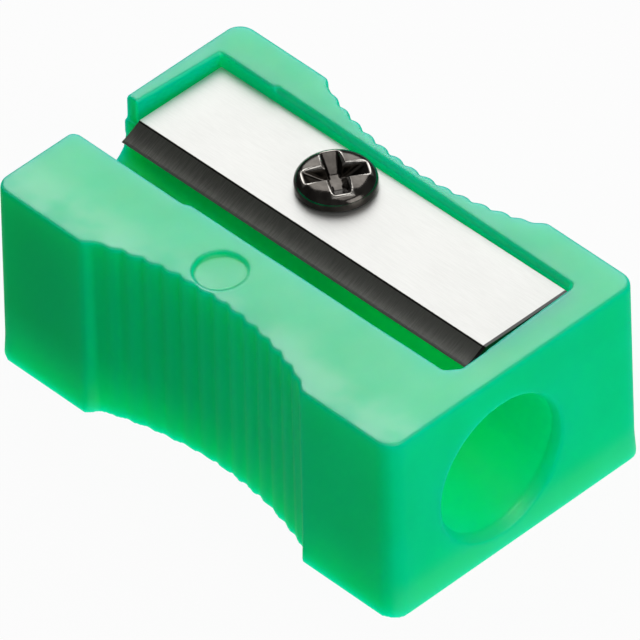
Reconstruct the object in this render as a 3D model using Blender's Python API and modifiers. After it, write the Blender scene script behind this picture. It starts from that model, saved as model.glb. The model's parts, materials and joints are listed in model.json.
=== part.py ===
"""Wedge pencil sharpener: a moulded body, a ground steel blade and the screw that holds it.

Metres, +Z up.  The origin is under the middle of the body, +X points to the end that the
pencil goes in at, and +Y to the side that the blade lies on.
"""
import math

import bmesh
import bpy
from mathutils import Euler, Matrix, Vector

MM = 0.001

# Body
BODY_LENGTH = 25.74 * MM
BODY_WIDTH = 15.74 * MM
BODY_HEIGHT = 10.4 * MM
CORNER_RADIUS = 0.9 * MM
CORNER_STEPS = 6
DRAFT = 0.10 * MM            # how far each wall leans out from the top down to the foot
FOOT_FLARE = 0.08 * MM       # extra lean in the foot
FOOT_HEIGHT = 1.2 * MM

# Finger grip on both sides
WAIST_HALF_WIDTH = 6.23 * MM
WAIST_LEAN = 0.4             # share of the walls' lean that the grip has
WAIST_RADIUS = 18.4 * MM
SHOULDER_START = 6.45 * MM
SHOULDER_END = 7.2 * MM
RIB_PITCH = 1.0 * MM
RIB_OFFSET = 0.15 * MM
RIB_COUNT = 13
RIB_DEPTH_TOP = 0.18 * MM
RIB_DEPTH_FOOT = 0.09 * MM
RIB_BIAS = 0.6               # share of a rib's depth that lies inside the waist line
RIB_FADE = 0.4 * MM          # length over which the ribs run out at a shoulder
RIB_STEPS = 6
SHOULDER_STEPS = 4

# Seat that the blade lies on; its own axes run along the blade and square to it
SEAT_ORIGIN = Vector((-1.954 * MM, 3.334 * MM, 9.21 * MM))
SEAT_PITCH = math.radians(1.07)
SEAT_SKEW = math.radians(-0.36)

# Blade, in the seat's axes
BLADE_TIP_X = -9.78 * MM
BLADE_HOLE_X = 12.78 * MM
BLADE_BACK_Y = 2.14 * MM
BEVEL_START_Y = -3.04 * MM
CUTTING_EDGE_Y = -4.21 * MM
BLADE_THICKNESS = 0.6 * MM
EDGE_THICKNESS = 0.02 * MM
BLADE_HOLE_RADIUS = 1.3 * MM
GAP = 0.03 * MM              # between pieces that rest on each other

# Pocket around the blade, in the seat's axes
POCKET_BACK_Y = 2.20 * MM
POCKET_TIP_X = (-9.86 * MM, -10.12 * MM)     # at the back and at the slot
POCKET_HOLE_X = (12.87 * MM, 13.15 * MM)     # at the back and at the slot
TIP_WALL_END_Y = -2.8 * MM
POCKET_HEIGHT = 2.0 * MM     # more than the depth of the seat, so the pocket is open above

# Slot that the shavings leave by
SLOT_NEAR_Y = -2.78 * MM
SLOT_STEP_X = -5.5 * MM
SLOT_STEP = 0.18 * MM
SLOT_STEP_HALF_LENGTH = 0.17 * MM
SLOT_NEAR_Y_AT_HOLE = -2.41 * MM
SLOT_HOLE_X = 11.19 * MM
SLOT_CORNER = (0.48 * MM, 0.59 * MM)
SLOT_FAR_Y = -0.05 * MM
SLOT_FLOOR_Z = 8.0 * MM
SLOT_LEAN = 0.5 * MM
SLOT_MOUTH_RADIUS = 0.5 * MM
SLOT_MOUTH_STEPS = 5

# Channel beyond the pencil's point
CHANNEL_RADIUS = 1.35 * MM
CHANNEL_Y = -0.9 * MM
CHANNEL_Z = 8.05 * MM
CHANNEL_END_X = -2.0 * MM

# Pencil bore: a cone whose highest line lies in the seat, then a straight guide
CONE_HALF_ANGLE = math.radians(12.41)
CONE_APEX_X = -6.35 * MM     # in the seat's axes
CONE_APEX_Y = -4.222 * MM    # in the seat's axes
BORE_RADIUS = 3.6 * MM
MOUTH_RADIUS = 3.85 * MM
MOUTH_CHAMFER = 0.4 * MM
APEX_RADIUS = 0.03 * MM
GUIDE_LENGTH = 8.0 * MM
BORE_STEPS = 72

# Round mark in the top face
MARK_CENTRE = (-1.21 * MM, -4.75 * MM)
MARK_RADIUS = 1.3 * MM
MARK_DEPTH = 0.25 * MM

SMALL_HOLE_STEPS = 40

# Screw, in the seat's axes, on their vertical
THREAD_PITCH = 0.8 * MM
THREAD_ROOT_RADIUS = 0.78 * MM
THREAD_DEPTH = 0.32 * MM
THREAD_HALF_WIDTH = 0.42     # of one pitch, at the root
THREAD_LENGTH = 4.7 * MM     # below the seat
THREAD_TOP = 0.1 * MM        # above the seat
THREAD_FADE = 0.5 * MM       # length over which the thread runs out at each end
THREAD_CLEARANCE = 0.04 * MM
HOLE_DEPTH = 5.2 * MM
TIP_RADIUS = 0.45 * MM
TIP_LENGTH = 0.25 * MM
NECK_RADIUS = 1.0 * MM
NECK_START = 0.3 * MM
NECK_FILLET = 0.02 * MM
HEAD_RADIUS = 1.95 * MM
HEAD_HEIGHT = 0.9 * MM
HEAD_RIM = 0.3 * MM
HEAD_EDGE = (0.08 * MM, 0.06 * MM)           # rounding under the rim: inwards and upwards
CROWN_POWER = 0.5            # below 1 the crown is fuller than a dome
CROWN_FLAT_RADIUS = 0.08 * MM
CROWN_STEPS = 7
ROWS_PER_PITCH = 8
SCREW_SEGMENTS = 24

# Cross recess in the head: two bars, narrower and shorter towards the floor
CROSS_REACH = 1.5 * MM
CROSS_WIDTH = 0.78 * MM
CROSS_DEPTH = 0.75 * MM
CROSS_TURN = math.radians(-32.0)
CROSS_ABOVE = 0.3 * MM       # how far a bar's cutter stands over the crown
CROSS_FLOOR = (0.35, 0.3)    # half length over reach, and half width over width
CROSS_TOP = (1.25, 0.55)     # the same, at the top of the cutter

OVERSHOOT = 1.0 * MM         # how far a cutter runs past the face it opens

GREEN = (0.010, 0.420, 0.165, 1.0)
STEEL = (0.780, 0.775, 0.760, 1.0)
BLACK_NICKEL = (0.030, 0.028, 0.026, 1.0)

ALONG_X = Matrix.Rotation(math.radians(90.0), 4, "Y")


def clear_scene():
    for old in list(bpy.data.objects):
        bpy.data.objects.remove(old, do_unlink=True)


def make_collection(name):
    collection = bpy.data.collections.new(name)
    bpy.context.scene.collection.children.link(collection)
    return collection


def make_material(name, color, roughness, metallic):
    material = bpy.data.materials.new(name)
    material.use_nodes = True
    shader = material.node_tree.nodes["Principled BSDF"]
    shader.inputs["Base Color"].default_value = color
    shader.inputs["Roughness"].default_value = roughness
    shader.inputs["Metallic"].default_value = metallic
    return material


def make_object(name, bm, collection, material=None):
    """Turn a bmesh into a named object with its faces pointing out."""
    bmesh.ops.recalc_face_normals(bm, faces=bm.faces)
    mesh = bpy.data.meshes.new(name)
    bm.to_mesh(mesh)
    bm.free()
    obj = bpy.data.objects.new(name, mesh)
    collection.objects.link(obj)
    if material:
        mesh.materials.append(material)
    return obj


def make_cutter(name, bm, collection):
    cutter = make_object(name, bm, collection)
    cutter.hide_render = True
    cutter.display_type = "WIRE"
    return cutter


def cut(target, cutter):
    modifier = target.modifiers.new(cutter.name, "BOOLEAN")
    modifier.operation = "DIFFERENCE"
    modifier.solver = "EXACT"
    modifier.object = cutter


def shade(obj, angle=35.0):
    obj.data.shade_smooth()
    obj.data.set_sharp_from_angle(angle=math.radians(angle))


def loft(bm, sections):
    """Extrude a closed outline through a list of sections with the same number of points."""
    corners = [bm.verts.new(point) for point in sections[0]]
    bm.faces.new(corners)
    for section in sections[1:]:
        ring = [bm.verts.new(point) for point in section]
        count = len(ring)
        for i in range(count):
            j = (i + 1) % count
            bm.faces.new((corners[i], corners[j], ring[j], ring[i]))
        corners = ring
    bm.faces.new(list(reversed(corners)))


def arc(centre, radius, start, end, steps):
    """Points on a circle from one angle to another, in degrees, both ends included."""
    points = []
    for i in range(steps + 1):
        angle = math.radians(start + (end - start) * i / steps)
        points.append((centre[0] + radius * math.cos(angle), centre[1] + radius * math.sin(angle)))
    return points


def rib(x, depth):
    """Scalloped relief: round crests, sharper valleys."""
    phase = (x - RIB_OFFSET) / RIB_PITCH
    return depth * (abs(math.cos(math.pi * phase)) - RIB_BIAS)


def waist(x, lean, depth):
    """Half width of the finger grip at x."""
    sweep = WAIST_RADIUS - math.sqrt(WAIST_RADIUS ** 2 - x * x)
    inside = min(1.0, max(0.0, (SHOULDER_START - abs(x)) / RIB_FADE))
    return WAIST_HALF_WIDTH + WAIST_LEAN * lean + sweep + inside * rib(x, depth)


def shoulder(lean, depth):
    """Smooth rise from the grip to the flat side, as (x, half width)."""
    foot = waist(SHOULDER_START, lean, depth)
    rise = BODY_WIDTH / 2.0 + lean - foot
    points = []
    for i in range(SHOULDER_STEPS + 1):
        t = i / SHOULDER_STEPS
        blend = t * t * (3.0 - 2.0 * t)
        points.append((SHOULDER_START + (SHOULDER_END - SHOULDER_START) * t,
                       foot + rise * blend))
    return points


def grip_side(lean, depth):
    """One long side, from -X to +X, as (x, half width)."""
    steps = RIB_COUNT * RIB_STEPS
    first = RIB_OFFSET - RIB_COUNT / 2.0 * RIB_PITCH
    ribs = [first + RIB_PITCH * i / RIB_STEPS for i in range(steps + 1)]
    right = shoulder(lean, depth)
    left = [(-x, y) for x, y in reversed(right)]
    middle = [(x, waist(x, lean, depth)) for x in ribs if abs(x) < SHOULDER_START]
    return left + middle + right


def body_outline(lean, rib_depth):
    """The body seen from above, counter-clockwise, with its walls moved out by lean."""
    x_corner = BODY_LENGTH / 2.0 - CORNER_RADIUS
    y_corner = BODY_WIDTH / 2.0 - CORNER_RADIUS
    radius = CORNER_RADIUS + lean
    side = grip_side(lean, rib_depth)
    points = [(x, -y) for x, y in side]
    points += arc((x_corner, -y_corner), radius, -90, 0, CORNER_STEPS)
    points += arc((x_corner, y_corner), radius, 0, 90, CORNER_STEPS)
    points += list(reversed(side))
    points += arc((-x_corner, y_corner), radius, 90, 180, CORNER_STEPS)
    points += arc((-x_corner, -y_corner), radius, 180, 270, CORNER_STEPS)
    return points


def build_body(collection, material):
    levels = (
        (0.0, DRAFT + FOOT_FLARE, RIB_DEPTH_FOOT),
        (FOOT_HEIGHT, DRAFT, RIB_DEPTH_FOOT),
        (BODY_HEIGHT, 0.0, RIB_DEPTH_TOP),
    )
    bm = bmesh.new()
    loft(bm, [[(x, y, z) for x, y in body_outline(lean, depth)] for z, lean, depth in levels])
    return make_object("sharpener_body", bm, collection, material)


def seat_axes(cutters):
    """The empty that carries the blade, its pocket and its screw."""
    seat = bpy.data.objects.new("blade_seat", None)
    seat.empty_display_size = 5.0 * MM
    seat.location = SEAT_ORIGIN
    seat.rotation_euler = Euler((0.0, -SEAT_PITCH, SEAT_SKEW), "XYZ")
    cutters.objects.link(seat)
    return seat


def pocket_cutter(cutters, seat):
    """Space over the seat: blade outline plus clearance, open to the slot and past the tip."""
    far_x = POCKET_TIP_X[1] - OVERSHOOT
    slot_y = CUTTING_EDGE_Y - OVERSHOOT
    outline = (
        (POCKET_TIP_X[0], POCKET_BACK_Y),
        (POCKET_TIP_X[1], TIP_WALL_END_Y),
        (far_x, TIP_WALL_END_Y),
        (far_x, slot_y),
        (POCKET_HOLE_X[1], slot_y),
        (POCKET_HOLE_X[0], POCKET_BACK_Y),
    )
    bm = bmesh.new()
    loft(bm, [[(x, y, z) for x, y in outline] for z in (0.0, POCKET_HEIGHT)])
    cutter = make_cutter("cut_pocket", bm, cutters)
    cutter.parent = seat
    return cutter


def slot_cutter(cutters):
    """Upright slot beside the cutting edge; its near wall leans in towards the floor."""
    tip = -BODY_LENGTH / 2.0
    past_tip = tip - OVERSHOOT
    lip_y = SLOT_NEAR_Y - SLOT_MOUTH_RADIUS
    near = [(past_tip, lip_y)]
    near += arc((tip + SLOT_MOUTH_RADIUS, lip_y), SLOT_MOUTH_RADIUS, 180, 90, SLOT_MOUTH_STEPS)
    near += [
        (SLOT_STEP_X - SLOT_STEP_HALF_LENGTH, SLOT_NEAR_Y),
        (SLOT_STEP_X + SLOT_STEP_HALF_LENGTH, SLOT_NEAR_Y + SLOT_STEP),
        (SLOT_HOLE_X - SLOT_CORNER[0], SLOT_NEAR_Y_AT_HOLE),
        (SLOT_HOLE_X, SLOT_NEAR_Y_AT_HOLE + SLOT_CORNER[1]),
    ]
    far = [(SLOT_HOLE_X, SLOT_FAR_Y), (past_tip, SLOT_FAR_Y)]
    floor = [(x, y + SLOT_LEAN, SLOT_FLOOR_Z) for x, y in near]
    floor += [(x, y, SLOT_FLOOR_Z) for x, y in far]
    top_z = BODY_HEIGHT + OVERSHOOT
    lean_above = SLOT_LEAN * OVERSHOOT / (BODY_HEIGHT - SLOT_FLOOR_Z)
    top = [(x, y - lean_above, top_z) for x, y in near] + [(x, y, top_z) for x, y in far]
    bm = bmesh.new()
    loft(bm, [floor, top])
    return make_cutter("cut_slot", bm, cutters)


def round_cutter(name, radii, length, place, steps, cutters):
    """A cylinder or a cone frustum centred on place, from its first radius to its second."""
    bm = bmesh.new()
    bmesh.ops.create_cone(bm, cap_ends=True, segments=steps, radius1=radii[0],
                          radius2=radii[1], depth=length, matrix=place)
    return make_cutter(name, bm, cutters)


def channel_cutter(cutters):
    start_x = -BODY_LENGTH / 2.0 - OVERSHOOT
    middle_x = (start_x + CHANNEL_END_X) / 2.0
    place = Matrix.Translation((middle_x, CHANNEL_Y, CHANNEL_Z)) @ ALONG_X
    return round_cutter("cut_channel", (CHANNEL_RADIUS, CHANNEL_RADIUS), CHANNEL_END_X - start_x,
                        place, SMALL_HOLE_STEPS, cutters)


def bore_cutter(cutters, seat):
    """Cone and guide: a profile of (radius, height), listed top to bottom and turned about an
    axis that dips from the apex to the mouth."""
    cone_length = BORE_RADIUS / math.tan(CONE_HALF_ANGLE)
    guide_end = cone_length + GUIDE_LENGTH
    profile = ((0.0, guide_end), (BORE_RADIUS, guide_end), (BORE_RADIUS, cone_length),
               (APEX_RADIUS, 0.0), (0.0, 0.0))
    bm = bmesh.new()
    points = [bm.verts.new((radius, 0.0, height)) for radius, height in profile]
    for above, below in zip(points, points[1:]):
        bm.edges.new((above, below))
    cutter = make_cutter("cut_bore", bm, cutters)
    turn = cutter.modifiers.new("turn", "SCREW")
    turn.axis = "Z"
    turn.steps = BORE_STEPS
    turn.render_steps = BORE_STEPS
    turn.use_merge_vertices = True
    turn.merge_threshold = 0.01 * MM
    cutter.parent = seat
    cutter.location = (CONE_APEX_X, CONE_APEX_Y, -APEX_RADIUS)
    cutter.rotation_euler = (0.0, math.radians(90.0) + CONE_HALF_ANGLE, 0.0)
    return cutter


def bore_centre_at(x):
    """Where the bore's axis crosses the plane at world x."""
    dip = CONE_HALF_ANGLE - SEAT_PITCH
    apex_x = SEAT_ORIGIN.x + CONE_APEX_X
    apex_z = SEAT_ORIGIN.z + CONE_APEX_X * math.tan(SEAT_PITCH)
    y = SEAT_ORIGIN.y + CONE_APEX_Y + (x - SEAT_ORIGIN.x) * math.sin(SEAT_SKEW)
    return Vector((x, y, apex_z - (x - apex_x) * math.tan(dip)))


def mouth_cutter(cutters):
    """Chamfer around the end of the bore, square to the end face."""
    face_x = BODY_LENGTH / 2.0 + DRAFT / 2.0
    centre = bore_centre_at(face_x)
    slope = (MOUTH_RADIUS - BORE_RADIUS) / MOUTH_CHAMFER
    start_x = face_x - 1.5 * MOUTH_CHAMFER
    end_x = face_x + OVERSHOOT
    radii = [MOUTH_RADIUS + slope * (x - face_x) for x in (start_x, end_x)]
    place = Matrix.Translation(((start_x + end_x) / 2.0, centre.y, centre.z)) @ ALONG_X
    return round_cutter("cut_mouth", radii, end_x - start_x, place, BORE_STEPS, cutters)


def mark_cutter(cutters):
    height = MARK_DEPTH + OVERSHOOT
    place = Matrix.Translation((*MARK_CENTRE, BODY_HEIGHT - MARK_DEPTH + height / 2.0))
    return round_cutter("cut_mark", (MARK_RADIUS, MARK_RADIUS), height, place,
                        SMALL_HOLE_STEPS, cutters)


def rod(bm, rows, segments):
    """Close a rod from rows of (height, radius, thread depth), listed from the bottom up.

    The thread is right-handed: its crest climbs one pitch in each counter-clockwise turn.
    """
    bmesh.ops.create_grid(bm, x_segments=segments, y_segments=len(rows) - 1, size=1.0)
    for vert in bm.verts:
        turn = (vert.co.x + 1.0) / 2.0
        height, radius, depth = rows[round((vert.co.y + 1.0) / 2.0 * (len(rows) - 1))]
        phase = (height / THREAD_PITCH - turn) % 1.0
        ridge = max(0.0, 1.0 - abs(phase - 0.5) / THREAD_HALF_WIDTH)
        reach = radius + depth * ridge
        angle = math.tau * turn
        vert.co = (reach * math.cos(angle), reach * math.sin(angle), height)
    bmesh.ops.remove_doubles(bm, verts=bm.verts, dist=0.001 * MM)
    rims = [edge for edge in bm.edges if edge.is_boundary]
    bmesh.ops.holes_fill(bm, edges=rims, sides=0)


def thread_heights(bottom, top):
    """Heights of the rows of a threaded length."""
    count = round((top - bottom) / THREAD_PITCH * ROWS_PER_PITCH)
    return [bottom + (top - bottom) * i / count for i in range(count + 1)]


def screw_hole_cutter(cutters, seat):
    """The hole with the thread that the screw has cut in it."""
    root = THREAD_ROOT_RADIUS + THREAD_CLEARANCE
    rows = [(height, root, THREAD_DEPTH) for height in thread_heights(-HOLE_DEPTH, THREAD_PITCH)]
    bm = bmesh.new()
    rod(bm, rows, SCREW_SEGMENTS)
    cutter = make_cutter("cut_screw_hole", bm, cutters)
    cutter.parent = seat
    return cutter


def blade_hole_cutter(cutters, seat):
    cutter = round_cutter("cut_blade_hole", (BLADE_HOLE_RADIUS, BLADE_HOLE_RADIUS),
                          2.0 * (BLADE_THICKNESS + OVERSHOOT), Matrix.Identity(4),
                          SMALL_HOLE_STEPS, cutters)
    cutter.parent = seat
    return cutter


def build_blade(collection, material, seat):
    """Flat strip with one long edge ground from above to a cutting edge at its underside."""
    top = GAP + BLADE_THICKNESS
    section = (
        (BLADE_BACK_Y, GAP),
        (BLADE_BACK_Y, top),
        (BEVEL_START_Y, top),
        (CUTTING_EDGE_Y, GAP + EDGE_THICKNESS),
        (CUTTING_EDGE_Y, GAP),
    )
    bm = bmesh.new()
    loft(bm, [[(x, y, z) for y, z in section] for x in (BLADE_TIP_X, BLADE_HOLE_X)])
    blade = make_object("blade", bm, collection, material)
    blade.parent = seat
    return blade


def shank_rows():
    """Pointed end and thread, as (height, radius, thread depth) from the bottom up."""
    bottom, top = -THREAD_LENGTH, THREAD_TOP
    rows = [(bottom - TIP_LENGTH, TIP_RADIUS, 0.0)]
    for height in thread_heights(bottom, top):
        run_in = min(1.0, (height - bottom) / THREAD_FADE, (top - height) / THREAD_FADE)
        rows.append((height, THREAD_ROOT_RADIUS, THREAD_DEPTH * run_in))
    return rows


def head_rows(base):
    """Neck, flat underside, short rim and crown of the pan head."""
    rows = [
        (NECK_START, NECK_RADIUS, 0.0),
        (base - NECK_FILLET, NECK_RADIUS, 0.0),
        (base, NECK_RADIUS + NECK_FILLET, 0.0),
        (base, HEAD_RADIUS - HEAD_EDGE[0], 0.0),
        (base + HEAD_EDGE[1], HEAD_RADIUS, 0.0),
        (base + HEAD_RIM, HEAD_RADIUS, 0.0),
    ]
    for i in range(1, CROWN_STEPS + 1):
        angle = math.radians(90.0) * i / CROWN_STEPS
        radius = max(CROWN_FLAT_RADIUS, HEAD_RADIUS * max(0.0, math.cos(angle)) ** CROWN_POWER)
        rows.append((base + HEAD_RIM + (HEAD_HEIGHT - HEAD_RIM) * math.sin(angle), radius, 0.0))
    return rows


def cross_cutter(name, top, turn, cutters, seat):
    """One bar of the cross recess."""
    sections = []
    for (reach, width), height in ((CROSS_FLOOR, top - CROSS_DEPTH),
                                   (CROSS_TOP, top + CROSS_ABOVE)):
        x, y = reach * CROSS_REACH, width * CROSS_WIDTH
        sections.append([(x, y, height), (-x, y, height), (-x, -y, height), (x, -y, height)])
    bm = bmesh.new()
    loft(bm, sections)
    cutter = make_cutter(name, bm, cutters)
    cutter.parent = seat
    cutter.rotation_euler = (0.0, 0.0, CROSS_TURN + turn)
    return cutter


def build_screw(collection, material, cutters, seat):
    """Self-tapping pan-head screw; its head rests on the blade."""
    base = 2.0 * GAP + BLADE_THICKNESS
    bm = bmesh.new()
    rod(bm, shank_rows() + head_rows(base), SCREW_SEGMENTS)
    screw = make_object("blade_screw", bm, collection, material)
    screw.parent = seat
    for name, turn in (("cut_cross_first", 0.0), ("cut_cross_second", math.radians(90.0))):
        cut(screw, cross_cutter(name, base + HEAD_HEIGHT, turn, cutters, seat))
    return screw


def main():
    clear_scene()
    parts = make_collection("pencil_sharpener")
    cutters = make_collection("cutters")
    seat = seat_axes(cutters)

    plastic = make_material("green_plastic", GREEN, 0.35, 0.0)
    steel = make_material("blade_steel", STEEL, 0.22, 1.0)
    nickel = make_material("black_nickel", BLACK_NICKEL, 0.2, 1.0)

    body = build_body(parts, plastic)
    cut(body, slot_cutter(cutters))
    cut(body, pocket_cutter(cutters, seat))
    cut(body, channel_cutter(cutters))
    cut(body, bore_cutter(cutters, seat))
    cut(body, mouth_cutter(cutters))
    cut(body, mark_cutter(cutters))
    cut(body, screw_hole_cutter(cutters, seat))

    blade = build_blade(parts, steel, seat)
    cut(blade, blade_hole_cutter(cutters, seat))

    screw = build_screw(parts, nickel, cutters, seat)
    for piece in (body, blade, screw):
        shade(piece)


main()
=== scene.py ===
"""Looks of a one-hole wedge pencil sharpener: green moulded body, ground blade, black screw."""
import json
import math

import bmesh
import bpy
from bpy.props import FloatProperty, FloatVectorProperty, IntProperty, PointerProperty
from mathutils import Euler, Matrix, Vector


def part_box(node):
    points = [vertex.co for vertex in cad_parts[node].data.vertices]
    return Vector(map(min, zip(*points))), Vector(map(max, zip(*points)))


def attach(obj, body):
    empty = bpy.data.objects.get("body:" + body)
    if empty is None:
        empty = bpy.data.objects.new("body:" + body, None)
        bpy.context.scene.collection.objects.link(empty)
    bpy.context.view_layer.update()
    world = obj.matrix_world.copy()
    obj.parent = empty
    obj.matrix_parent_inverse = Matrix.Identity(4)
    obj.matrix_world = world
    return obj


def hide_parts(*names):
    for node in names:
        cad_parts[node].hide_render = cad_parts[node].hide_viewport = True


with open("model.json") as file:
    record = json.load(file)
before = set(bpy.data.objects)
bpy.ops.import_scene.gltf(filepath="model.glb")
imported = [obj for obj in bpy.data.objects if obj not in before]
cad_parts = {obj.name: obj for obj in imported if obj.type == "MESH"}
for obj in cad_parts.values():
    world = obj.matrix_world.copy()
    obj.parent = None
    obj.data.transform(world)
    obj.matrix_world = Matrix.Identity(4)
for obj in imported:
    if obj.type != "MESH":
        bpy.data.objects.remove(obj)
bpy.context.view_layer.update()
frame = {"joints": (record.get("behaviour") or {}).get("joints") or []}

bl_info = {
    "name": "Wedge Pencil Sharpener",
    "version": (1, 0, 0),
    "blender": (4, 5, 0),
    "location": "3D View > Sidebar > Sharpener",
    "description": "Builds the moulded body, the blade and the screw of a wedge pencil sharpener",
    "category": "Object",
}

MM = 0.001


# ---------------------------------------------------------------------------- frame

def box_mm(node):
    """Corners of a node in millimetres."""
    low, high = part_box(node)
    return low / MM, high / MM


def joint_named(name):
    return next(joint for joint in frame["joints"] if joint["name"] == name)


def seat_matrix():
    """The seat under the blade, in millimetres: its Z is the screw's axis, its X runs along
    the blade towards the pencil hole."""
    joint = joint_named("screw_turn")
    axis = Vector(joint["axis"]).normalized()
    pitch = math.asin(math.hypot(axis.x, axis.y))
    skew = math.atan2(-axis.y, -axis.x)
    turn = Euler((0.0, -pitch, skew), "XYZ").to_matrix().to_4x4()
    return Matrix.Translation(Vector(joint["pos_m"]) / MM) @ turn


# ---------------------------------------------------------------------------- settings

class SHARPENER_PG_body(bpy.types.PropertyGroup):
    """Sizes in millimetres and colours of the moulded body."""
    corner: FloatProperty(name="Corner radius", description="Radius of the upright corners",
                          default=0.9, min=0.3)
    edge: FloatProperty(name="Top edge radius", description="Rounding of the top face's edge",
                        default=0.2, min=0.02, max=0.28)
    ease: FloatProperty(name="Pocket ease", description="Chamfer round the top of the pocket",
                        default=0.15, min=0.0)
    draft: FloatProperty(name="Draft", description="How far a wall leans out down to the foot",
                         default=0.10)
    flare: FloatProperty(name="Foot flare", description="Extra lean at the foot", default=0.08)
    foot: FloatProperty(name="Foot height", description="Height of the flared foot", default=1.2)
    waist: FloatProperty(name="Waist half width", description="Half width at the grip's middle",
                         default=6.23)
    waist_lean: FloatProperty(name="Waist lean", description="Share of the walls' lean that the "
                              "grip has", default=0.0)
    waist_radius: FloatProperty(name="Waist radius", description="Sweep of the finger grip",
                                default=18.4)
    shoulder_start: FloatProperty(name="Shoulder start", description="Where the grip ends",
                                  default=6.45)
    shoulder_end: FloatProperty(name="Shoulder end", description="Where the flat side starts",
                                default=7.2)
    rib_count: IntProperty(name="Ribs", description="Ribs on each side", default=13)
    rib_pitch: FloatProperty(name="Rib pitch", description="Distance between ribs", default=1.0)
    rib_offset: FloatProperty(name="Rib offset", description="Middle rib's place along the body",
                              default=0.15)
    rib_top: FloatProperty(name="Rib depth at top", description="Relief at the top face",
                           default=0.18)
    rib_foot: FloatProperty(name="Rib depth at foot", description="Relief at the foot",
                            default=0.10)
    voxel: FloatProperty(name="Softening", description="Grid that rounds the moulded edges",
                         default=0.09, min=0.05)
    colour: FloatVectorProperty(name="Plastic", description="Colour of the moulding",
                                subtype="COLOR", size=3, default=(0.0, 0.91, 0.42))
    deep_colour: FloatVectorProperty(name="Deep plastic", description="Colour in the thick parts",
                                     subtype="COLOR", size=3, default=(0.0, 0.85, 0.36))
    # Painted shade: a darker plastic colour that stands in for the lesser light on the -Y side.
    painted_side_shade_colour: FloatVectorProperty(name="Dull plastic", description="Colour of the near side",
                                     subtype="COLOR", size=3, default=(0.0, 0.68, 0.24))
    # Painted glow: an emission colour that lights the hollow walls in place of light let through
    # the plastic.
    glow: FloatVectorProperty(name="Glow", description="Light let through into the hollows",
                              subtype="COLOR", size=3, default=(0.0, 0.13, 0.066))


class SHARPENER_PG_blade(bpy.types.PropertyGroup):
    """Sizes in millimetres and colours of the blade."""
    thickness: FloatProperty(name="Thickness", description="Thickness of the strip", default=0.6)
    back: FloatProperty(name="Back edge", description="Back edge, from the screw", default=2.14)
    bevel: FloatProperty(name="Bevel start", description="Where the ground bevel starts",
                         default=-3.04)
    edge: FloatProperty(name="Cutting edge", description="Cutting edge, from the screw",
                        default=-4.21)
    tip: FloatProperty(name="Tip end", description="End over the pencil's point", default=-9.78)
    hole_end: FloatProperty(name="Hole end", description="End over the pencil's shaft",
                            default=12.78)
    hole: FloatProperty(name="Hole radius", description="Radius of the screw hole", default=1.3)
    gap: FloatProperty(name="Gap", description="Air between pieces that rest on each other",
                       default=0.03)
    flat_colour: FloatVectorProperty(name="Satin steel", description="Colour of the flat",
                                     subtype="COLOR", size=3, default=(0.65, 0.65, 0.63))
    bevel_colour: FloatVectorProperty(name="Ground steel", description="Colour of the bevel",
                                      subtype="COLOR", size=3, default=(0.22, 0.22, 0.2))


class SHARPENER_PG_screw(bpy.types.PropertyGroup):
    """Sizes in millimetres and colour of the screw."""
    head: FloatProperty(name="Head radius", description="Radius of the pan head", default=1.95)
    height: FloatProperty(name="Head height", description="Height of the pan head", default=0.9)
    neck: FloatProperty(name="Neck radius", description="Plain neck under the head", default=1.0)
    pitch: FloatProperty(name="Thread pitch", description="Rise in one turn", default=0.8)
    root: FloatProperty(name="Thread root", description="Root radius", default=0.78)
    thread: FloatProperty(name="Thread depth", description="Depth of the thread", default=0.32)
    length: FloatProperty(name="Thread length", description="Length below the seat", default=4.7)
    cross_turn: FloatProperty(name="Recess turn", description="How far the cross is turned",
                              subtype="ANGLE", default=math.radians(-32.0))
    cross_reach: FloatProperty(name="Recess reach", description="Reach of an arm of the cross",
                               default=1.5)
    cross_width: FloatProperty(name="Recess width", description="Width of an arm", default=0.78)
    voxel: FloatProperty(name="Softening", description="Grid that rounds the edges",
                         default=0.035, min=0.01)
    colour: FloatVectorProperty(name="Plating", description="Colour of the black nickel",
                                subtype="COLOR", size=3, default=(0.09, 0.082, 0.074))
    # Painted highlight: a light plating colour that stands in for glints round the recess.
    glint_colour: FloatVectorProperty(name="Worn edges", description="Colour of the rubbed edges",
                                     subtype="COLOR", size=3, default=(0.6, 0.57, 0.53))


class SHARPENER_PG_stage(bpy.types.PropertyGroup):
    """Camera, floor and light."""
    azimuth: FloatProperty(name="Azimuth", description="Camera direction round the object",
                           subtype="ANGLE", default=math.radians(46.719))
    elevation: FloatProperty(name="Elevation", description="Camera height angle",
                             subtype="ANGLE", default=math.radians(42.357))
    roll: FloatProperty(name="Roll", description="Camera roll", subtype="ANGLE",
                        default=math.radians(-1.748))
    distance: FloatProperty(name="Distance", description="Camera distance", unit="LENGTH",
                            default=0.68153)
    lens: FloatProperty(name="Lens", description="Focal length in millimetres", default=843.75)
    floor_colour: FloatVectorProperty(name="Floor", description="Colour of the floor",
                                      subtype="COLOR", size=3, default=(1.0, 1.0, 1.0))


# ---------------------------------------------------------------------------- shader maths

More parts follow.
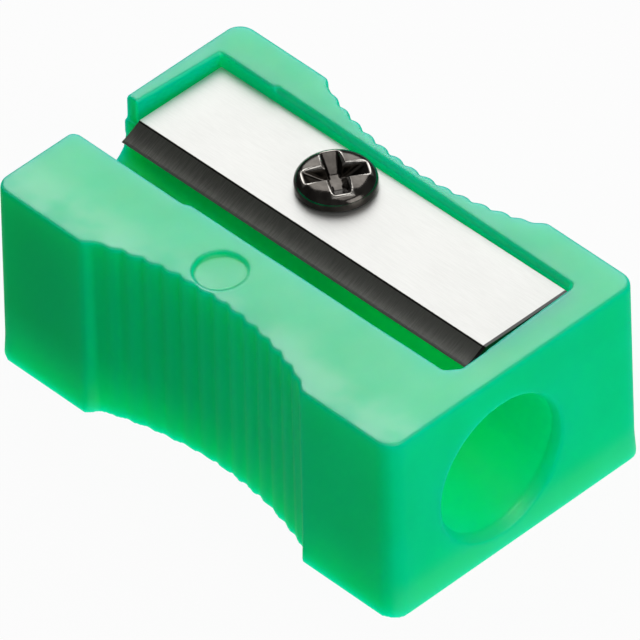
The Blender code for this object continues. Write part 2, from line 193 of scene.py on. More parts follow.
class Field:
    """A value or vector socket that can be used in Python arithmetic."""

    def __init__(self, graph, socket):
        self.graph = graph
        self.socket = socket

    def _math(self, operation, other, flipped=False):
        first, second = (other, self) if flipped else (self, other)
        return self.graph.node("ShaderNodeMath", {"operation": operation},
                               {0: first, 1: second})["Value"]

    def __add__(self, other):
        return self._math("ADD", other)

    def __radd__(self, other):
        return self._math("ADD", other)

    def __sub__(self, other):
        return self._math("SUBTRACT", other)

    def __rsub__(self, other):
        return self._math("SUBTRACT", other, flipped=True)

    def __mul__(self, other):
        return self._math("MULTIPLY", other)

    def __rmul__(self, other):
        return self._math("MULTIPLY", other)

    def ramp(self, start, end, low=0.0, high=1.0):
        """Smooth step from low to high between start and end."""
        return self.graph.node("ShaderNodeMapRange", {"interpolation_type": "SMOOTHSTEP"},
                               {"Value": self, "From Min": start, "From Max": end,
                                "To Min": low, "To Max": high})["Result"]

    def band(self, centre, half):
        """One at centre, falling to zero at half either side."""
        rise = self.ramp(centre - half, centre)
        return rise * self.ramp(centre, centre + half, 1.0, 0.0)

    def larger(self, other):
        return self._math("MAXIMUM", other)

    def smaller(self, other):
        return self._math("MINIMUM", other)

    def size(self):
        """The value without its sign."""
        return self.larger(0.0 - self)

    def along_row(self, row):
        """One coordinate of this position under a matrix, from that matrix's row."""
        turned = self.graph.node("ShaderNodeVectorMath", {"operation": "DOT_PRODUCT"},
                                 {0: self, 1: tuple(row[:3])})["Value"]
        return turned + row[3]

    def axes(self):
        parts = self.graph.node("ShaderNodeSeparateXYZ", {}, {"Vector": self})
        return parts["X"], parts["Y"], parts["Z"]


class Graph:
    """Adds nodes to the tree of one new material or world."""

    def __init__(self, owner):
        owner.use_nodes = True
        self.owner = owner
        self.tree = owner.node_tree
        self.tree.nodes.clear()

    def node(self, kind, settings, sockets):
        """Add a node: its settings first, then the values or links of its sockets."""
        node = self.tree.nodes.new(kind)
        for key, value in settings.items():
            setattr(node, key, value)
        for key, value in sockets.items():
            socket = node.inputs[key]
            if isinstance(value, Field):
                self.tree.links.new(value.socket, socket)
            else:
                socket.default_value = value
        return {output.name: Field(self, output) for output in node.outputs if output.enabled}

    def place(self):
        """Position on the piece, in millimetres."""
        coordinates = self.node("ShaderNodeTexCoord", {}, {})["Object"]
        return self.node("ShaderNodeVectorMath", {"operation": "SCALE"},
                         {"Vector": coordinates, "Scale": 1.0 / MM})["Vector"]

    def stretch(self, vector, amounts):
        return self.node("ShaderNodeVectorMath", {"operation": "MULTIPLY"},
                         {0: vector, 1: amounts})["Vector"]

    def noise(self, vector, scale, detail=2.0, roughness=0.5):
        return self.node("ShaderNodeTexNoise", {"noise_dimensions": "3D"},
                         {"Vector": vector, "Scale": scale, "Detail": detail,
                          "Roughness": roughness})["Fac"]

    def mix(self, factor, first, second):
        """Blend two colours."""
        return self.node("ShaderNodeMix", {"data_type": "RGBA"},
                         {"Factor": factor, 6: first, 7: second})["Result"]

    def bump(self, height, strength, distance):
        return self.node("ShaderNodeBump", {}, {"Height": height, "Strength": strength,
                                                "Distance": distance})["Normal"]

    def principled(self, sockets):
        """Finish the material with a Principled shader."""
        shader = self.node("ShaderNodeBsdfPrincipled", {"subsurface_method": "RANDOM_WALK"},
                           sockets)
        self.node("ShaderNodeOutputMaterial", {}, {"Surface": shader["BSDF"]})
        return self.owner


def rgba(colour, gain=1.0):
    return (*[channel * gain for channel in colour], 1.0)


WHITE, BLACK = rgba((1.0, 1.0, 1.0)), rgba((0.0, 0.0, 0.0))
# Black for the painted shade and shadow lines on the blade.
SHADE_BLACK = rgba((0.01, 0.01, 0.01))
BODY_MIDDLE = (0.0, 0.0, 5.0)
TABLE_TINT = rgba((0.6, 1.0, 0.5))


def plastic_material(body):
    """Slightly translucent green moulding with a milky, handled top, painted shade on the -Y side
    and a painted glow in its hollows.
    """
    graph = Graph(bpy.data.materials.new("green_moulding"))
    place = graph.place()
    along, across, height = place.axes()
    normal = graph.node("ShaderNodeNewGeometry", {}, {})["Normal"]
    facing_x, facing_y, facing_z = normal.axes()
    grain = graph.noise(place, 9.0, 4.0, 0.6)
    sink = graph.noise(place, 0.45, 2.0)
    cloud = graph.noise(place, 0.16, 3.0, 0.55)
    streaks = graph.noise(graph.stretch(place, (0.5, 0.5, 0.12)), 0.9, 2.0)
    shade = (cloud * 0.7 + streaks * 0.3).ramp(0.32, 0.68)

    # Where the surface faces: up, along the bore's end, or to the -Y side. The -Y side gets
    # painted shade, darker towards the tip and higher up the wall.
    facing_up = facing_z.ramp(0.5, 0.95)
    end = facing_x.ramp(0.5, 0.9)
    near_side = facing_y.ramp(-0.9, -0.6, 1.0, 0.0)
    painted_side_shade = near_side * along.ramp(-13.0, 4.0, 1.0, 0.3) * height.ramp(0.8, 4.0, 0.2, 1.0)

    # Milkier on the -Y edge of the top, where it is held, and at the foot of the end.
    handled = across.ramp(-6.8, -4.6, 0.45, 0.0) * sink.ramp(0.3, 0.6)
    foot = end * height.ramp(0.5, 2.4, 0.3, 0.0)

    # Walls that face the body's middle line the slot, the pocket and the bore. Emission paints a
    # glow onto them, stronger towards the tip, in place of light let through the plastic.
    from_middle = graph.node("ShaderNodeVectorMath", {"operation": "SUBTRACT"},
                             {0: place, 1: BODY_MIDDLE})["Vector"]
    outward = graph.node("ShaderNodeVectorMath", {"operation": "DOT_PRODUCT"},
                         {0: from_middle, 1: normal})["Value"]
    inner_wall = outward.ramp(-2.0, -0.2, 1.0, 0.0) * across.size().ramp(5.6, 6.0, 1.0, 0.0)
    hollow = inner_wall * (1.0 - end) * along.ramp(-13.0, 2.0, 1.0, 0.7)

    colour = graph.mix(shade, rgba(body.deep_colour), rgba(body.colour))
    # Painted shade: the -Y side is mixed towards the darker colour.
    colour = graph.mix(painted_side_shade, colour, rgba(body.painted_side_shade_colour))
    relief = grain * 0.12 + sink
    return graph.principled({
        "Base Color": colour,
        "Roughness": 0.34 + grain * 0.12 - facing_up * 0.05,
        "IOR": 1.5,
        "Subsurface Weight": 1.0,
        "Subsurface Radius": (0.05, 1.0, 0.6),
        "Subsurface Scale": 4.5 * MM,
        "Specular IOR Level": 0.012,
        "Specular Tint": (0.0, 1.0, 0.6, 1.0),
        "Coat Weight": facing_up * (sink * 0.5 + 0.68 + handled) + foot,
        "Emission Color": graph.mix(hollow, BLACK, rgba(body.glow)),
        "Emission Strength": 1.0,
        "Coat Roughness": 0.35,
        "Coat IOR": 1.8,
        "Normal": graph.bump(relief, 0.35, 0.06 * MM),
    })


def blade_material(blade, seat):
    """Satin flat with faint drawn lines, a dark ground bevel, a painted shade line along the
    bevel's edge and a painted gap shadow across the hole end.
    """
    graph = Graph(bpy.data.materials.new("blade_steel"))
    place = graph.place()
    along, across = [place.along_row(row) for row in seat.inverted()[:2]]
    bevelled = across.ramp(blade.bevel - 0.01, blade.bevel + 0.01, 1.0, 0.0)
    honed = across.ramp(blade.edge + 0.06, blade.edge + 0.10, 1.0, 0.0)
    drawn = graph.noise(graph.stretch(place, (0.6, 14.0, 14.0)), 1.6, 3.0, 0.6)
    wheel = graph.noise(graph.stretch(place, (16.0, 0.8, 0.8)), 1.4, 3.0, 0.6)
    patches = graph.noise(place, 0.35, 3.0)
    flat = graph.mix(drawn.ramp(0.35, 0.65), rgba(blade.flat_colour, 0.95),
                     rgba(blade.flat_colour))
    cut = graph.mix(wheel.ramp(0.3, 0.7), rgba(blade.bevel_colour, 0.8),
                    rgba(blade.bevel_colour, 1.15))
    cut = graph.mix(along.ramp(-4.0, 12.0, 0.0, 0.12), cut, rgba(blade.flat_colour))
    cut = graph.mix(honed * 0.6, cut, rgba(blade.flat_colour, 0.5))
    colour = graph.mix(bevelled, flat, cut)
    # Painted shade: a dark line along the crease between the flat and the bevel.
    bevel_edge_shade = across.band(blade.bevel - 0.05, 0.06)
    # Painted shadow: a black band across the hole end, where the gap to the pocket wall lies in
    # shade.
    painted_gap_shadow = along.ramp(blade.hole_end - 0.19, blade.hole_end - 0.16)
    dark = bevel_edge_shade.larger(painted_gap_shadow)
    colour = graph.mix(dark * 0.9, colour, SHADE_BLACK)
    relief = graph.node("ShaderNodeMix", {"data_type": "FLOAT"},
                        {"Factor": bevelled, 2: drawn, 3: wheel})["Result"]
    return graph.principled({
        "Base Color": colour,
        "Metallic": bevelled.larger(dark) * 0.25 + 0.75,
        "Roughness": 0.4 + patches * 0.06 - bevelled * 0.1,
        "Normal": graph.bump(relief, 0.25, 0.004 * MM),
    })


def plating_material(screw, seat, base):
    """Glossy black nickel with slight handling marks, and painted highlights round the recess."""
    graph = Graph(bpy.data.materials.new("black_nickel"))
    place = graph.place()
    cross = (seat @ Matrix.Rotation(screw.cross_turn, 4, "Z")).inverted()
    u, v, height = [place.along_row(row) for row in cross[:3]]
    u, v = u.size(), v.size()
    reach, half = screw.cross_reach, screw.cross_width / 2.0
    # Distance outside the cross: the nearer of its two bars, each a box round the middle.
    outside = (v - half).larger(u - reach).smaller((u - half).larger(v - reach))
    # Painted highlight: the plating is lightened in a band just outside the cross, high on the
    # head, to stand in for glints.
    painted_glint = outside.band(0.09, 0.1) * height.ramp(base + 0.35, base + 0.55)
    haze = graph.noise(place, 1.8, 4.0, 0.6)
    pits = graph.noise(place, 14.0, 2.0)
    colour = graph.mix(haze.ramp(0.3, 0.7), rgba(screw.colour, 0.75), rgba(screw.colour, 1.25))
    colour = graph.mix(painted_glint * haze.ramp(0.3, 0.5, 0.4, 1.0), colour, rgba(screw.glint_colour))
    return graph.principled({
        "Base Color": colour,
        "Metallic": 1.0,
        "Roughness": 0.1 + haze * 0.1,
        "Normal": graph.bump(pits, 0.15, 0.006 * MM),
    })


def floor_material(stage):
    """Plain pale sheet, lit through from behind so that it stays even."""
    graph = Graph(bpy.data.materials.new("floor_sheet"))
    place = graph.place()
    fleck = graph.noise(place, 0.004, 2.0)
    colour = graph.mix(fleck, rgba(stage.floor_colour), rgba(stage.floor_colour, 0.99))
    return graph.principled({
        "Base Color": rgba(stage.floor_colour, 0.03),
        "Roughness": 0.9,
        "Specular IOR Level": 0.0,
        "Emission Color": colour,
        "Emission Strength": 0.96,
    })


def studio_world(name):
    """Dim room over a light table: bright below, where the plastic tints it, and even at
    the sides."""
    graph = Graph(bpy.data.worlds.new(name))
    along, _, height = graph.node("ShaderNodeTexCoord", {}, {})["Generated"].axes()
    below = height.ramp(-0.9, -0.35, 1.0, 0.0)
    side = height.ramp(-0.35, 0.15, 0.35, 0.12) * along.ramp(-1.0, 0.2, 0.5, 1.0)
    background = graph.node("ShaderNodeBackground", {},
                            {"Color": graph.mix(below, WHITE, TABLE_TINT),
                             "Strength": below * 0.9 + side})
    graph.node("ShaderNodeOutputWorld", {}, {"Surface": background["Background"]})
    return graph.owner


# ---------------------------------------------------------------------------- workshop

def work_object(name, bm, matrix=Matrix.Identity(4)):
    """A working solid in millimetres, with its faces pointing out."""
    bmesh.ops.recalc_face_normals(bm, faces=bm.faces)
    mesh = bpy.data.meshes.new(name)
    bm.to_mesh(mesh)
    bm.free()
    obj = bpy.data.objects.new(name, mesh)
    bpy.context.scene.collection.objects.link(obj)
    obj.matrix_world = matrix
    return obj


def cut_away(target, cutters):
    for cutter in cutters:
        modifier = target.modifiers.new(cutter.name, "BOOLEAN")
        modifier.operation = "DIFFERENCE"
        modifier.solver = "EXACT"
        modifier.object = cutter


def soften(target, voxel, passes):
    """Round every edge a little, as a mould does."""
    remesh = target.modifiers.new("grid", "REMESH")
    remesh.mode = "VOXEL"
    remesh.voxel_size = voxel * 1.0
    smooth = target.modifiers.new("soften", "SMOOTH")
    smooth.factor = 0.5
    smooth.iterations = passes


def collect(name, work, cutters, material):
    """Turn the working solid into a finished piece in metres and clear the bench."""
    graph = bpy.context.evaluated_depsgraph_get()
    mesh = bpy.data.meshes.new_from_object(work.evaluated_get(graph))
    mesh.transform(Matrix.Scale(MM, 4) @ work.matrix_world)
    mesh.name = name
    mesh.materials.clear()
    mesh.materials.append(material)
    piece = bpy.data.objects.new(name, mesh)
    bpy.context.scene.collection.objects.link(piece)
    for old in [work, *cutters]:
        bpy.data.objects.remove(old, do_unlink=True)
    return piece


def install(piece, body, node):
    """Fix a finished piece to its body in place of its plain solid."""
    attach(piece, body)
    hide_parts(node)


def loft(bm, sections):
    """Close a solid through outlines that have the same number of points."""
    ring = [bm.verts.new(point) for point in sections[0]]
    bm.faces.new(ring)
    for section in sections[1:]:
        above = [bm.verts.new(point) for point in section]
        count = len(above)
        for i in range(count):
            j = (i + 1) % count
            bm.faces.new((ring[i], ring[j], above[j], above[i]))
        ring = above
    bm.faces.new(list(reversed(ring)))


def arc(centre, radius, start, end, steps):
    """Points on a circle from one angle to another, in degrees."""
    points = []
    for i in range(steps + 1):
        angle = math.radians(start + (end - start) * i / steps)
        points.append((centre[0] + radius * math.cos(angle), centre[1] + radius * math.sin(angle)))
    return points


def cylinder(name, radius, start, end, axis="Z", steps=96, end_radius=None):
    """A round cutter between two points on a line along X or Z."""
    start, end = Vector(start), Vector(end)
    turn = Matrix.Rotation(math.radians(90.0), 4, "Y") if axis == "X" else Matrix.Identity(4)
    bm = bmesh.new()
    bmesh.ops.create_cone(bm, cap_ends=True, segments=steps, radius1=radius,
                          radius2=radius if end_radius is None else end_radius,
                          depth=(end - start).length,
                          matrix=Matrix.Translation((start + end) / 2.0) @ turn)
    return work_object(name, bm)


def turned(name, profile, steps, matrix):
    """Turn (radius, height) points, listed from the top down, about Z."""
    bm = bmesh.new()
    points = [bm.verts.new((radius, 0.0, height)) for radius, height in profile]
    edges = [bm.edges.new(pair) for pair in zip(points, points[1:])]
    bmesh.ops.spin(bm, geom=points + edges, cent=(0, 0, 0), axis=(0, 0, 1), angle=math.tau,
                   steps=steps, use_merge=True)
    bmesh.ops.remove_doubles(bm, verts=bm.verts, dist=0.0005)
    return work_object(name, bm, matrix)


# ---------------------------------------------------------------------------- body

STEPS_PER_CORNER = 16
STEPS_PER_RIB = 16
SHOULDER_STEPS = 8
EDGE_STEPS = 6
RIB_MIDDLE = 0.6               # share of a rib's relief that lies inside the grip's sweep
RIB_RUN_IN = 0.4               # ribs fade in over this share of their pitch

# Bore. The apex is in the seat's axes.
BORE_HALF_ANGLE = math.radians(12.41)
BORE_APEX = Vector((-6.35, -4.222, 0.0))
BORE_APEX_RADIUS = 0.03
BORE_RADIUS = 3.6
BORE_GUIDE = 8.0
MOUTH_RADIUS = 3.85
MOUTH_CHAMFER = 0.4
BORE_STEPS = 192

# Pocket, in the seat's axes, as (x, y).
POCKET_BACK = 2.20
POCKET_FRONT = -5.0
POCKET_TIP_X = (-9.86, -10.12)      # at the back wall, at the tip wall's end
POCKET_HOLE_X = (12.87, 13.15)      # at the back wall, at the front
TIP_WALL_END = -2.8
PAST_TIP = -11.6

# Step along the pocket's back wall: its two ends, and (y, height above the top face).
LEDGE_ENDS = (-6.4, 12.85)
LEDGE_PROFILE = ((1.8, -0.26), (2.20, -0.26), (2.46, -0.13), (2.50, 0.5), (1.8, 0.5))

# Cut that clears the end of the tip wall.
TIP_CUT_CENTRE = (-13.2, -0.03, 9.53)
TIP_CUT_SIZE = (2.5, 0.9, 3.0)

# Slot beside the cutting edge. The near wall is listed from the tip to the pencil's end.
SLOT_TIP = -12.87
SLOT_CORNER = 0.5
SLOT_TIP_Y = -3.28
SLOT_WALL = ((-5.67, -2.78), (-5.33, -2.60), (10.71, -2.41), (11.19, -1.82))
SLOT_END = 11.19
SLOT_FAR_Y = -0.05
SLOT_FLOOR = 8.0
SLOT_LEAN = 0.5                # how far the near wall leans in down to the floor

MARK_CENTRE = (-1.21, -4.75)
MARK_RADIUS = 1.3
MARK_DEPTH = 0.17
MARK_TILT = math.radians(3.5)

CHANNEL_RADIUS = 1.35
CHANNEL_ENDS = ((-14.0, -0.9, 8.05), (-2.0, -0.9, 8.05))
SCREW_HOLE_RADIUS = 1.14
SCREW_HOLE_DEPTH = 5.2
OVER = 1.0                     # how far a cutter stands above the face it opens


def waist_at(body, x, depth):
    """Half width of the ribbed grip at x, where its wall stands upright."""
    sweep = body.waist_radius - math.sqrt(body.waist_radius ** 2 - x * x)
    phase = (x - body.rib_offset) / body.rib_pitch
    relief = depth * (abs(math.cos(math.pi * phase)) - RIB_MIDDLE)
    run_in = RIB_RUN_IN * body.rib_pitch
    inside = min(1.0, max(0.0, (body.shoulder_start - abs(x)) / run_in))
    return body.waist + sweep + inside * relief


def grip_side(body, half_width, waist_out, depth):
    """One long side from -X to +X as (x, half width)."""
    steps = body.rib_count * STEPS_PER_RIB
    reach = body.rib_count / 2.0 * body.rib_pitch
    places = [body.rib_offset - reach + 2.0 * reach * i / steps for i in range(steps + 1)]
    middle = [(x, waist_at(body, x, depth) + waist_out) for x in places
              if abs(x) < body.shoulder_start]
    foot = waist_at(body, body.shoulder_start, depth) + waist_out
    span = body.shoulder_end - body.shoulder_start
    rise = []
    for i in range(SHOULDER_STEPS + 1):
        t = i / SHOULDER_STEPS
        rise.append((body.shoulder_start + span * t,
                     foot + (half_width - foot) * t * t * (3.0 - 2.0 * t)))
    left = [(-x, y) for x, y in reversed(rise)]
    return left + middle + rise


def body_outline(body, half_length, half_width, out, waist_out, depth):
    """The body seen from above, counter-clockwise, with its walls moved out."""
    x_corner, y_corner = half_length - body.corner, half_width - body.corner
    radius = body.corner + out
    side = grip_side(body, half_width + out, waist_out, depth)
    points = [(x, -y) for x, y in side]
    points += arc((x_corner, -y_corner), radius, -90, 0, STEPS_PER_CORNER)
    points += arc((x_corner, y_corner), radius, 0, 90, STEPS_PER_CORNER)
    points += reversed(side)
    points += arc((-x_corner, y_corner), radius, 90, 180, STEPS_PER_CORNER)
    points += arc((-x_corner, -y_corner), radius, 180, 270, STEPS_PER_CORNER)
    return points


def body_block(body):
    """The solid moulding, lofted from its foot up to the rounded edge of its top face."""
    low, high = box_mm("sharpener_body")
    lean = body.draft + body.flare
    half_length, half_width = high.x - lean, high.y - lean
    levels = [(low.z, lean, lean * body.waist_lean, body.rib_foot),
              (body.foot, body.draft, body.draft * body.waist_lean, body.rib_foot)]
    for i in range(EDGE_STEPS + 1):
        angle = math.radians(90.0) * i / EDGE_STEPS
        out = body.edge * (math.cos(angle) - 1.0)
        levels.append((high.z - body.edge * (1.0 - math.sin(angle)), out, out, body.rib_top))
    bm = bmesh.new()
    sections = []
    for z, out, waist_out, depth in levels:
        outline = body_outline(body, half_length, half_width, out, waist_out, depth)
        sections.append([(x, y, z) for x, y in outline])
    loft(bm, sections)
    return work_object("block", bm)


def pocket_outline(grow):
    """The pocket in the seat's axes, with its closed walls moved out."""
    back = POCKET_BACK + grow
    return ((POCKET_TIP_X[0] - grow, back), (POCKET_TIP_X[1] - grow, TIP_WALL_END),
            (PAST_TIP, TIP_WALL_END), (PAST_TIP, POCKET_FRONT),
            (POCKET_HOLE_X[1] + grow, POCKET_FRONT), (POCKET_HOLE_X[0] + grow, back))


def pocket_tool(seat, top, ease):
    """Space for the blade: closed at the back and both ends, open to the slot, and eased round
    its top."""
    sections = [[seat @ Vector((x, y, 0.0)) for x, y in pocket_outline(0.0)]]
    for z, grow in ((top - ease, 0.0), (top + OVER, ease + OVER)):
        upper = [seat @ Vector((x, y, 1.0)) for x, y in pocket_outline(grow)]
        sections.append([(point.x, point.y, z) for point in upper])
    bm = bmesh.new()
    loft(bm, sections)
    return work_object("pocket", bm)


def ledge_tool(seat, top):
    """A narrow step let in along the top of the pocket's back wall."""
    sections = []
    for x in LEDGE_ENDS:
        corners = [(seat @ Vector((x, y, 1.0)), top + rise) for y, rise in LEDGE_PROFILE]
        sections.append([(corner.x, corner.y, z) for corner, z in corners])
    bm = bmesh.new()
    loft(bm, sections)
    return work_object("ledge", bm)


def tip_tool():
    """Clears the sliver between the slot and the end of the pocket's tip wall."""
    bm = bmesh.new()
    bmesh.ops.create_cube(bm, size=1.0)
    place = Matrix.Translation(TIP_CUT_CENTRE) @ Matrix.Diagonal((*TIP_CUT_SIZE, 1.0))
    return work_object("tip", bm, place)


def mark_tool(top):
    """Round sunk mark; its floor is tilted, deepest on the -X side."""
    bm = bmesh.new()
    bmesh.ops.create_cone(bm, cap_ends=True, segments=96, radius1=MARK_RADIUS,
                          radius2=MARK_RADIUS, depth=2.0 * OVER)
    tilt = Matrix.Rotation(-MARK_TILT, 4, "Y")
    place = Matrix.Translation((*MARK_CENTRE, top + OVER - MARK_DEPTH)) @ tilt
    return work_object("mark", bm, place)


def slot_tool(top):
    """Slot beside the cutting edge; its near wall leans in towards the floor."""
    past = SLOT_TIP - OVER
    near = [(past, SLOT_TIP_Y)]
    near += arc((SLOT_TIP + SLOT_CORNER, SLOT_TIP_Y), SLOT_CORNER, 180, 90, 10)
    near += SLOT_WALL
    far = [(SLOT_END, SLOT_FAR_Y), (past, SLOT_FAR_Y)]
    lean_above = SLOT_LEAN * OVER / (top - SLOT_FLOOR)
    bottom = [(x, y + SLOT_LEAN, SLOT_FLOOR) for x, y in near]
    bottom += [(x, y, SLOT_FLOOR) for x, y in far]
    above = [(x, y - lean_above, top + OVER) for x, y in near]
    above += [(x, y, top + OVER) for x, y in far]
    bm = bmesh.new()
    loft(bm, [bottom, above])
    return work_object("slot", bm)


def bore_tools(seat, face_x):
    """The cone, the straight guide behind it and the chamfer at the mouth."""
    cone = BORE_RADIUS / math.tan(BORE_HALF_ANGLE)
    profile = ((0.0, cone + BORE_GUIDE), (BORE_RADIUS, cone + BORE_GUIDE), (BORE_RADIUS, cone),
               (BORE_APEX_RADIUS, 0.0), (0.0, 0.0))
    dip = Matrix.Rotation(math.radians(90.0) + BORE_HALF_ANGLE, 4, "Y")
    place = seat @ Matrix.Translation(BORE_APEX) @ dip
    bore = turned("bore", profile, BORE_STEPS, place)
    apex, axis = place.translation, place.to_3x3() @ Vector((0.0, 0.0, 1.0))
    centre = apex + axis * ((face_x - apex.x) / axis.x)
    spread = (MOUTH_RADIUS - BORE_RADIUS) / MOUTH_CHAMFER
    start, end = face_x - 1.5 * MOUTH_CHAMFER, face_x + OVER
    inner = BORE_RADIUS - 0.5 * (MOUTH_RADIUS - BORE_RADIUS)
    mouth = cylinder("mouth", inner, (start, centre.y, centre.z), (end, centre.y, centre.z), "X",
                     BORE_STEPS, inner + spread * (end - start))
    return [bore, mouth]


class SHARPENER_OT_body(bpy.types.Operator):
    """Mould the green body"""
    bl_idname = "sharpener.body"
    bl_label = "Moulded body"

    def execute(self, context):
        body = context.scene.sharpener_body
        seat = seat_matrix()
        _, high = box_mm("sharpener_body")
        block = body_block(body)
        tools = [slot_tool(high.z), pocket_tool(seat, high.z, body.ease),
                 ledge_tool(seat, high.z), tip_tool(),
                 cylinder("channel", CHANNEL_RADIUS, *CHANNEL_ENDS, "X"), mark_tool(high.z),
                 *bore_tools(seat, high.x - body.flare - body.draft * 0.5)]
        hole = cylinder("screw_hole", SCREW_HOLE_RADIUS, (0.0, 0.0, -SCREW_HOLE_DEPTH),
                        (0.0, 0.0, OVER))
        hole.matrix_world = seat
        tools.append(hole)
        cut_away(block, tools)
        soften(block, body.voxel, 5)
        piece = collect("moulded_body", block, tools, plastic_material(body))
        piece.data.shade_smooth()
        install(piece, "body", "sharpener_body")
        return {"FINISHED"}


# ---------------------------------------------------------------------------- blade

BLADE_LAND = 0.02              # blunt height of the cutting edge
GRIND_HOLLOW = 0.035           # how deep the wheel hollows the bevel
GRIND_STEPS = 8
HOLE_FLARE = 0.12
HOLE_OVER = 0.2


class SHARPENER_OT_blade(bpy.types.Operator):
    """Grind the steel blade"""
    bl_idname = "sharpener.blade"
    bl_label = "Ground blade"

    def execute(self, context):
        blade = context.scene.sharpener_blade
        seat = seat_matrix()
        floor, top = blade.gap, blade.gap + blade.thickness
        land = BLADE_LAND
        section = [(blade.back, floor), (blade.back, top), (blade.bevel, top)]
        for i in range(1, GRIND_STEPS):
            t = i / GRIND_STEPS
            hollow = GRIND_HOLLOW * math.sin(math.pi * t)
            section.append((blade.bevel + (blade.edge - blade.bevel) * t,
                            top + (floor + land - top) * t - hollow))
        section += [(blade.edge, floor + land), (blade.edge, floor)]
        bm = bmesh.new()
        loft(bm, [[(x, y, z) for y, z in section] for x in (blade.tip, blade.hole_end)])
        strip = work_object("strip", bm, seat)
        edges = strip.modifiers.new("edges", "BEVEL")
        edges.width = 0.02
        edges.segments = 2
        edges.limit_method = "ANGLE"
        edges.angle_limit = math.radians(50.0)
        over, wide = HOLE_OVER, blade.hole + HOLE_FLARE + HOLE_OVER
        profile = ((0.0, top + over), (wide, top + over), (blade.hole, top - HOLE_FLARE),
                   (blade.hole, floor + HOLE_FLARE), (wide, floor - over), (0.0, floor - over))
        hole = turned("hole", profile, 96, seat)
        cut_away(strip, [hole])
        piece = collect("ground_blade", strip, [hole], blade_material(blade, seat))
        piece.data.shade_smooth()
        piece.data.set_sharp_from_angle(angle=math.radians(18.0))
        install(piece, "blade", "blade")
        return {"FINISHED"}


# ---------------------------------------------------------------------------- screw

CREST_HALF = 0.42              # half width of the thread's ridge, in pitches
ROWS_PER_PITCH = 18
THREAD_FADE = 0.5
TIP_LENGTH, TIP_RADIUS = 0.25, 0.45
RIM_HEIGHT = 0.3               # upright part of the pan head
CROWN_STEPS = 40
CROWN_POWER = 0.5
RECESS_DEPTH = 0.75
RECESS_EASE = 0.16
RECESS_OVER = 0.3


def rod(bm, rows, segments, pitch):
    """Close a rod from rows of (height, radius, thread depth), from the bottom up; the thread's
    crest climbs one pitch in each counter-clockwise turn."""
    bmesh.ops.create_grid(bm, x_segments=segments, y_segments=len(rows) - 1, size=1.0)
    for vert in bm.verts:
        turn = (vert.co.x + 1.0) / 2.0
        height, radius, depth = rows[round((vert.co.y + 1.0) / 2.0 * (len(rows) - 1))]
        phase = (height / pitch - turn) % 1.0
        reach = radius + depth * max(0.0, 1.0 - abs(phase - 0.5) / CREST_HALF)
        vert.co = (reach * math.cos(math.tau * turn), reach * math.sin(math.tau * turn), height)
    bmesh.ops.remove_doubles(bm, verts=bm.verts, dist=0.0005)
    bmesh.ops.holes_fill(bm, edges=[edge for edge in bm.edges if edge.is_boundary], sides=0)


def screw_rows(screw, base):
    """The screw from its tip up to the crown of its head."""
    bottom, top = -screw.length, 0.1
    count = round((top - bottom) / screw.pitch * ROWS_PER_PITCH)
    rows = [(bottom - TIP_LENGTH, TIP_RADIUS, 0.0)]
    for i in range(count + 1):
        height = bottom + (top - bottom) * i / count
        run_in = min(1.0, (height - bottom) / THREAD_FADE,
                     (top - height) / THREAD_FADE)
        rows.append((height, screw.root, screw.thread * run_in))
    shoulder = base + RIM_HEIGHT
    rows += [(0.3, screw.neck, 0.0), (base - 0.01, screw.neck, 0.0),
             (base, screw.neck + 0.02, 0.0), (base, screw.head - 0.08, 0.0),
             (base + 0.06, screw.head, 0.0), (shoulder, screw.head, 0.0)]
    for i in range(1, CROWN_STEPS + 1):
        angle = math.radians(90.0) * i / CROWN_STEPS
        radius = max(0.02, screw.head * max(0.0, math.cos(angle)) ** CROWN_POWER)
        rows.append((shoulder + (screw.height - RIM_HEIGHT) * math.sin(angle), radius, 0.0))
    return rows


def recess_tool(screw, seat, top, turn):
    """One bar of the cross recess: its walls taper to its floor and its rim is eased."""
    full, wide = screw.cross_reach, screw.cross_width / 2.0
    spread = RECESS_OVER + RECESS_EASE
    sections = []
    for reach, half, height in ((full * 0.35, wide * 0.6, top - RECESS_DEPTH),
                                (full, wide, top - RECESS_EASE),
                                (full + spread, wide + spread, top + RECESS_OVER)):
        sections.append([(reach, half, height), (-reach, half, height),
                         (-reach, -half, height), (reach, -half, height)])
    bm = bmesh.new()
    loft(bm, sections)
    spin = Matrix.Rotation(screw.cross_turn + turn, 4, "Z")
    return work_object("recess", bm, seat @ spin)


class SHARPENER_OT_screw(bpy.types.Operator):
    """Make the cross-head screw"""
    bl_idname = "sharpener.screw"
    bl_label = "Cross-head screw"

    def execute(self, context):
        screw = context.scene.sharpener_screw
        blade = context.scene.sharpener_blade
        seat = seat_matrix()
        base = 2.0 * blade.gap + blade.thickness
        bm = bmesh.new()
        rod(bm, screw_rows(screw, base), 64, screw.pitch)
        blank = work_object("blank", bm, seat)
        top = base + screw.height
        tools = [recess_tool(screw, seat, top, turn) for turn in (0.0, math.radians(90.0))]
        cut_away(blank, tools)
        soften(blank, screw.voxel, 14)
        piece = collect("cross_head_screw", blank, tools, plating_material(screw, seat, base))
        piece.data.shade_smooth()
        install(piece, "screw", "blade_screw")
        return {"FINISHED"}


# ---------------------------------------------------------------------------- stage

def aim(location, target):
    """A matrix at location whose -Z looks at target."""
    back = (location - target).normalized()
    return Matrix.Translation(location) @ back.to_track_quat("Z", "Y").to_matrix().to_4x4()


LIGHT_TARGET = Vector((0.0, 0.0, 0.006))
VIEW_MIDDLE = Vector((0.0, 0.0, 5.3 * MM))
VIEW_OFFSET = (0.163 * MM, -0.2145 * MM)       # to the right and up in the view


def softbox(name, direction, distance, size, power):
    """A rectangular lamp, out of the camera's sight, that looks at the object."""
    light = bpy.data.lights.new(name, "AREA")
    light.shape = "RECTANGLE"
    light.size, light.size_y = size
    light.energy = power
    lamp = bpy.data.objects.new(name, light)
    bpy.context.scene.collection.objects.link(lamp)
    place = LIGHT_TARGET + Vector(direction).normalized() * distance
    lamp.matrix_world = aim(place, LIGHT_TARGET)
    lamp.visible_camera = False


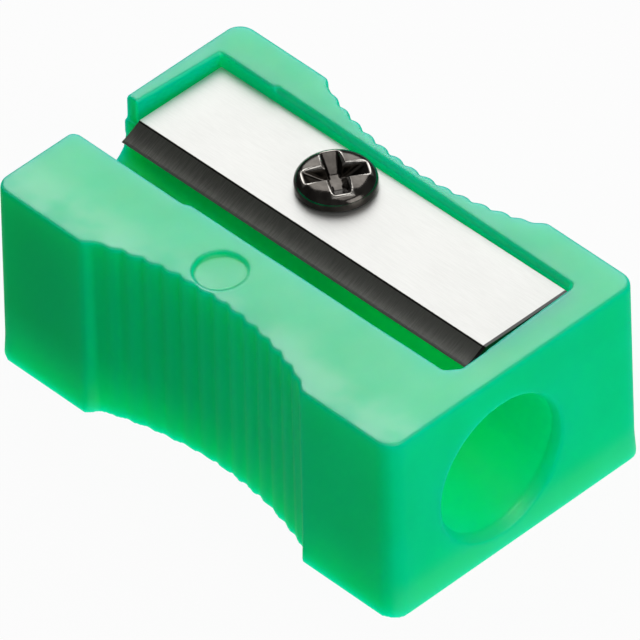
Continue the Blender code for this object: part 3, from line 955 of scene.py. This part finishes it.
def make_camera(stage):
    """Long lens, nearly parallel view, at the angle that the object is shown from."""
    a, e = stage.azimuth, stage.elevation
    back = Vector((math.sin(a) * math.cos(e), -math.cos(a) * math.cos(e), math.sin(e)))
    level = Vector((math.cos(a), math.sin(a), 0.0))
    rise = back.cross(level)
    right = level * math.cos(stage.roll) + rise * math.sin(stage.roll)
    up = rise * math.cos(stage.roll) - level * math.sin(stage.roll)
    target = VIEW_MIDDLE + right * VIEW_OFFSET[0] + up * VIEW_OFFSET[1]
    data = bpy.data.cameras.new("camera")
    data.sensor_width = 36.0
    data.lens = stage.lens
    data.clip_start, data.clip_end = 0.01, 20.0
    camera = bpy.data.objects.new("camera", data)
    bpy.context.scene.collection.objects.link(camera)
    turn = Matrix((right, up, back)).transposed().to_4x4()
    camera.matrix_world = Matrix.Translation(target + back * stage.distance) @ turn
    bpy.context.scene.camera = camera


class SHARPENER_OT_stage(bpy.types.Operator):
    """Set up the camera, the floor and the lights"""
    bl_idname = "sharpener.stage"
    bl_label = "Stage"

    def execute(self, context):
        stage = context.scene.sharpener_stage
        make_camera(stage)
        bm = bmesh.new()
        bmesh.ops.create_grid(bm, x_segments=8, y_segments=8, size=3.0)
        mesh = bpy.data.meshes.new("floor")
        bm.to_mesh(mesh)
        bm.free()
        mesh.materials.append(floor_material(stage))
        floor = bpy.data.objects.new("floor", mesh)
        floor.location.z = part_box("sharpener_body")[0].z
        floor.visible_diffuse = False
        floor.visible_glossy = False
        floor.visible_shadow = False
        context.scene.collection.objects.link(floor)
        softbox("sky_box", direction=(-0.54, 0.51, 0.67), distance=0.55, size=(0.5, 0.5),
                power=1.7)
        softbox("top_box", direction=(0.35, 0.0, 0.94), distance=0.6, size=(0.3, 0.3),
                power=0.36)
        softbox("end_box", direction=(0.95, 0.10, 0.45), distance=0.55, size=(0.35, 0.35),
                power=0.85)
        context.scene.world = studio_world("studio")
        context.scene.view_settings.view_transform = "Standard"
        return {"FINISHED"}


class SHARPENER_PT_panel(bpy.types.Panel):
    """Lists the pieces in the sidebar"""
    bl_label = "Pencil sharpener"
    bl_idname = "SHARPENER_PT_panel"
    bl_space_type = "VIEW_3D"
    bl_region_type = "UI"
    bl_category = "Sharpener"

    def draw(self, context):
        for operator in OPERATORS:
            self.layout.operator(operator.bl_idname)


SETTINGS = {
    "sharpener_body": SHARPENER_PG_body,
    "sharpener_blade": SHARPENER_PG_blade,
    "sharpener_screw": SHARPENER_PG_screw,
    "sharpener_stage": SHARPENER_PG_stage,
}
OPERATORS = (SHARPENER_OT_body, SHARPENER_OT_blade, SHARPENER_OT_screw, SHARPENER_OT_stage)


def register():
    for name, group in SETTINGS.items():
        bpy.utils.register_class(group)
        setattr(bpy.types.Scene, name, PointerProperty(type=group))
    for operator in OPERATORS:
        bpy.utils.register_class(operator)
    bpy.utils.register_class(SHARPENER_PT_panel)


def unregister():
    bpy.utils.unregister_class(SHARPENER_PT_panel)
    for operator in reversed(OPERATORS):
        bpy.utils.unregister_class(operator)
    for name, group in SETTINGS.items():
        delattr(bpy.types.Scene, name)
        bpy.utils.unregister_class(group)


def main():
    register()
    bpy.ops.sharpener.body()
    bpy.ops.sharpener.blade()
    bpy.ops.sharpener.screw()
    bpy.ops.sharpener.stage()


if __name__ == "__main__":
    main()
